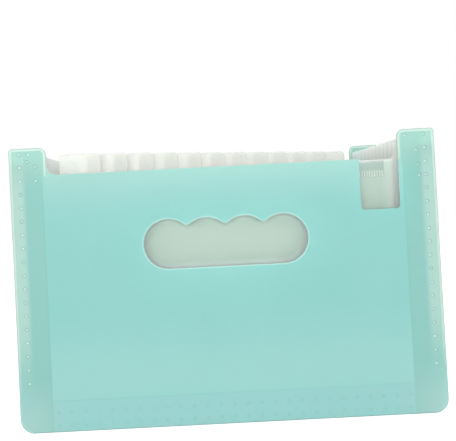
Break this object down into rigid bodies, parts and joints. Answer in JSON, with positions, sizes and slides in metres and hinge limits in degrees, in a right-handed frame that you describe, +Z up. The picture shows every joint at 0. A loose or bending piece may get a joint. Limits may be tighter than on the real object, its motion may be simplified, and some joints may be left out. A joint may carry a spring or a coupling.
{
  "type": "accordion file folder",
  "caption": "Accordion file folder of frosted plastic sheet with winged covers, a scalloped carrying hole, tabbed dividers and pleated gussets that open like a bellows.",
  "frame": {"origin": "on the surface it stands on, under the middle of the folder at rest", "axes": "+X along the covers to the right seen from the front, +Y from the front cover to the back cover, +Z up"},
  "size_m": [0.25, 0.1308, 0.1665],
  "materials": {
    "cover_sheet": "frosted translucent mint polypropylene sheet",
    "divider_sheet": "milky frosted polypropylene sheet",
    "gusset_film": "thin milky polypropylene film, creased",
    "sleeve_film": "clear glossy polypropylene film"
  },
  "bodies": {
    "front_cover": {"front_cover": "cover_sheet"},
    "divider_01": {"divider_01": "divider_sheet", "index_sleeve_01": "sleeve_film", "gusset_01": "gusset_film"},
    "divider_02": {"divider_02": "divider_sheet", "index_sleeve_02": "sleeve_film", "gusset_02": "gusset_film"},
    "divider_03": {"divider_03": "divider_sheet", "index_sleeve_03": "sleeve_film", "gusset_03": "gusset_film"},
    "divider_04": {"divider_04": "divider_sheet", "index_sleeve_04": "sleeve_film", "gusset_04": "gusset_film"},
    "divider_05": {"divider_05": "divider_sheet", "index_sleeve_05": "sleeve_film", "gusset_05": "gusset_film"},
    "divider_06": {"divider_06": "divider_sheet", "index_sleeve_06": "sleeve_film", "gusset_06": "gusset_film"},
    "divider_07": {"divider_07": "divider_sheet", "index_sleeve_07": "sleeve_film", "gusset_07": "gusset_film"},
    "divider_08": {"divider_08": "divider_sheet", "index_sleeve_08": "sleeve_film", "gusset_08": "gusset_film"},
    "divider_09": {"divider_09": "divider_sheet", "index_sleeve_09": "sleeve_film", "gusset_09": "gusset_film"},
    "divider_10": {"divider_10": "divider_sheet", "index_sleeve_10": "sleeve_film", "gusset_10": "gusset_film"},
    "divider_11": {"divider_11": "divider_sheet", "index_sleeve_11": "sleeve_film", "gusset_11": "gusset_film"},
    "divider_12": {"divider_12": "divider_sheet", "index_sleeve_12": "sleeve_film", "gusset_12": "gusset_film"},
    "back_cover": {"back_cover": "cover_sheet", "gusset_13": "gusset_film"}
  },
  "joints": [
    {"name": "pocket_01", "type": "slide", "parent": "front_cover", "child": "divider_01", "axis": [0, 1, 0], "range_m": [-0.007, 0.01], "deforming": ["gusset_01"]},
    {"name": "pocket_02", "type": "slide", "parent": "divider_01", "child": "divider_02", "axis": [0, 1, 0], "range_m": [-0.007, 0.01], "deforming": ["gusset_02"]},
    {"name": "pocket_03", "type": "slide", "parent": "divider_02", "child": "divider_03", "axis": [0, 1, 0], "range_m": [-0.007, 0.01], "deforming": ["gusset_03"]},
    {"name": "pocket_04", "type": "slide", "parent": "divider_03", "child": "divider_04", "axis": [0, 1, 0], "range_m": [-0.007, 0.01], "deforming": ["gusset_04"]},
    {"name": "pocket_05", "type": "slide", "parent": "divider_04", "child": "divider_05", "axis": [0, 1, 0], "range_m": [-0.007, 0.01], "deforming": ["gusset_05"]},
    {"name": "pocket_06", "type": "slide", "parent": "divider_05", "child": "divider_06", "axis": [0, 1, 0], "range_m": [-0.007, 0.01], "deforming": ["gusset_06"]},
    {"name": "pocket_07", "type": "slide", "parent": "divider_06", "child": "divider_07", "axis": [0, 1, 0], "range_m": [-0.007, 0.01], "deforming": ["gusset_07"]},
    {"name": "pocket_08", "type": "slide", "parent": "divider_07", "child": "divider_08", "axis": [0, 1, 0], "range_m": [-0.007, 0.01], "deforming": ["gusset_08"]},
    {"name": "pocket_09", "type": "slide", "parent": "divider_08", "child": "divider_09", "axis": [0, 1, 0], "range_m": [-0.007, 0.01], "deforming": ["gusset_09"]},
    {"name": "pocket_10", "type": "slide", "parent": "divider_09", "child": "divider_10", "axis": [0, 1, 0], "range_m": [-0.007, 0.01], "deforming": ["gusset_10"]},
    {"name": "pocket_11", "type": "slide", "parent": "divider_10", "child": "divider_11", "axis": [0, 1, 0], "range_m": [-0.007, 0.01], "deforming": ["gusset_11"]},
    {"name": "pocket_12", "type": "slide", "parent": "divider_11", "child": "divider_12", "axis": [0, 1, 0], "range_m": [-0.007, 0.01], "deforming": ["gusset_12"]},
    {"name": "pocket_13", "type": "slide", "parent": "divider_12", "child": "back_cover", "axis": [0, 1, 0], "range_m": [-0.007, 0.01], "deforming": ["gusset_13"]}
  ]
}
